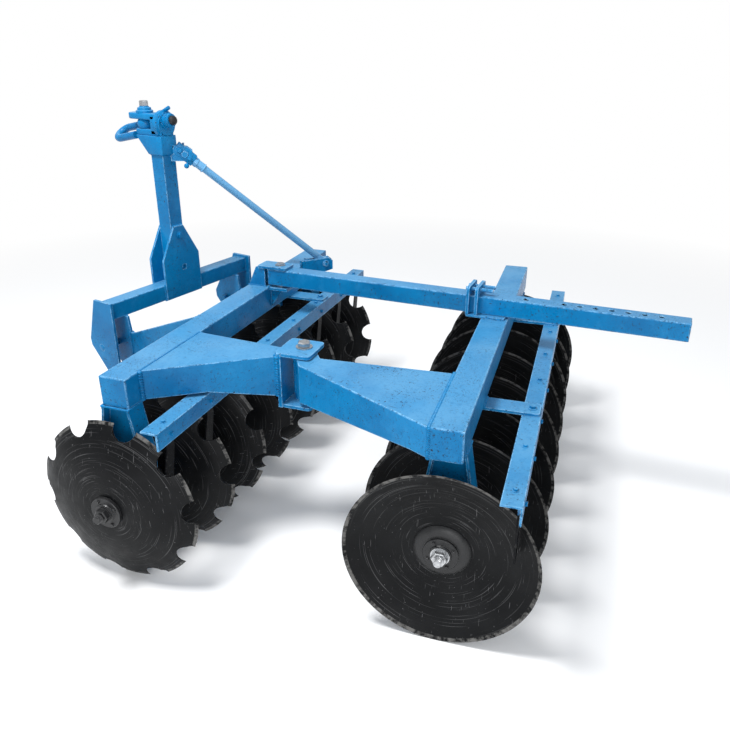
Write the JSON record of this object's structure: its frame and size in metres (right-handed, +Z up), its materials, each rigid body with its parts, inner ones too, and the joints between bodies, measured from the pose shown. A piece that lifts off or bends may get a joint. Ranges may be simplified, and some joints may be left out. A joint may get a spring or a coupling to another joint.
{
  "type": "mounted offset disc harrow",
  "caption": "Tractor-mounted offset disc harrow: a notched and a plain disc gang under two box beams, hinged on an upright pin and set by a sliding bar, with a three-point hitch.",
  "frame": {"origin": "centre of the bounding box on the ground under the discs", "axes": "+X is the machine's left side, +Y points to the rear, away from the hitch, +Z is up"},
  "size_m": [2.1496, 2.4046, 1.481],
  "materials": {
    "blue_paint": "glossy blue enamel with chips and scratches",
    "zinc_steel": "bright zinc plate, slightly soiled",
    "black_disc": "satin black paint with scratches",
    "dark_iron": "black painted iron"
  },
  "bodies": {
    "front_frame": {"bar_bracket": "blue_paint", "bar_ledge": "blue_paint", "bar_pin": "zinc_steel", "brace_clevis": "blue_paint", "brace_lugs": "blue_paint", "front_arm": "blue_paint", "front_beam": "blue_paint", "front_hanger_left": "blue_paint", "front_hanger_right": "blue_paint", "front_scraper_bar": "blue_paint", "front_scraper_strap_left": "blue_paint", "front_scraper_strap_right": "blue_paint", "hitch_crossbar": "blue_paint", "hitch_strut_left": "blue_paint", "hitch_strut_right": "blue_paint", "link_cheek_inner_left": "blue_paint", "link_cheek_inner_right": "blue_paint", "link_cheek_outer_left": "blue_paint", "link_cheek_outer_right": "blue_paint", "link_pin_left": "zinc_steel", "link_pin_right": "zinc_steel", "mast": "blue_paint", "mast_bolt": "zinc_steel", "mast_brace": "blue_paint", "mast_gusset_front": "blue_paint", "mast_gusset_rear": "blue_paint", "mast_head": "blue_paint", "pivot_fork": "blue_paint", "pivot_pin": "zinc_steel", "top_link_bolt": "zinc_steel", "towing_eye": "blue_paint"},
    "front_gang": {"front_disc_1": "black_disc", "front_disc_2": "black_disc", "front_disc_3": "black_disc", "front_disc_4": "black_disc", "front_disc_5": "black_disc", "front_disc_6": "black_disc", "front_disc_7": "black_disc", "front_disc_8": "black_disc", "front_gang_axle": "dark_iron"},
    "rear_frame": {"rear_arm": "blue_paint", "rear_beam": "blue_paint", "rear_hanger_left": "blue_paint", "rear_hanger_right": "blue_paint", "rear_scraper_bar": "blue_paint", "rear_scraper_strap_left": "blue_paint", "rear_scraper_strap_right": "blue_paint", "pivot_sleeve": "blue_paint"},
    "rear_gang": {"rear_disc_1": "black_disc", "rear_disc_2": "black_disc", "rear_disc_3": "black_disc", "rear_disc_4": "black_disc", "rear_disc_5": "black_disc", "rear_disc_6": "black_disc", "rear_disc_7": "black_disc", "rear_disc_8": "black_disc", "rear_gang_axle": "dark_iron"},
    "bar": {"adjusting_bar": "blue_paint"},
    "clamp": {"bar_clamp": "blue_paint"}
  },
  "joints": [
    {"name": "frame_hinge", "type": "hinge", "parent": "front_frame", "child": "rear_frame", "pos_m": [0.3944, 0.09592, 0.65], "axis": [0, 0, -1], "range_deg": [0, 40]},
    {"name": "front_gang_roll", "type": "hinge", "parent": "front_frame", "child": "front_gang", "pos_m": [0.10864, -0.46318, 0.30333], "axis": [0.9763, 0.2164, 0], "continuous": true},
    {"name": "rear_gang_roll", "type": "hinge", "parent": "rear_frame", "child": "rear_gang", "pos_m": [-0.16636, 0.54582, 0.30333], "axis": [0.965, 0.2622, 0], "continuous": true},
    {"name": "bar_swivel", "type": "hinge", "parent": "front_frame", "child": "bar", "pos_m": [-0.12313, -0.42033, 0.781], "axis": [0, 0, -1], "range_deg": [0, 21.8]},
    {"name": "clamp_swivel", "type": "hinge", "parent": "rear_frame", "child": "clamp", "pos_m": [-0.28602, 0.51331, 0.737], "axis": [0, 0, 1], "range_deg": [0, 18.4]}
  ],
  "couplings": [
    {"joint": "bar_swivel", "follows": "frame_hinge", "ratio": 0.543},
    {"joint": "clamp_swivel", "follows": "frame_hinge", "ratio": 0.457}
  ]
}
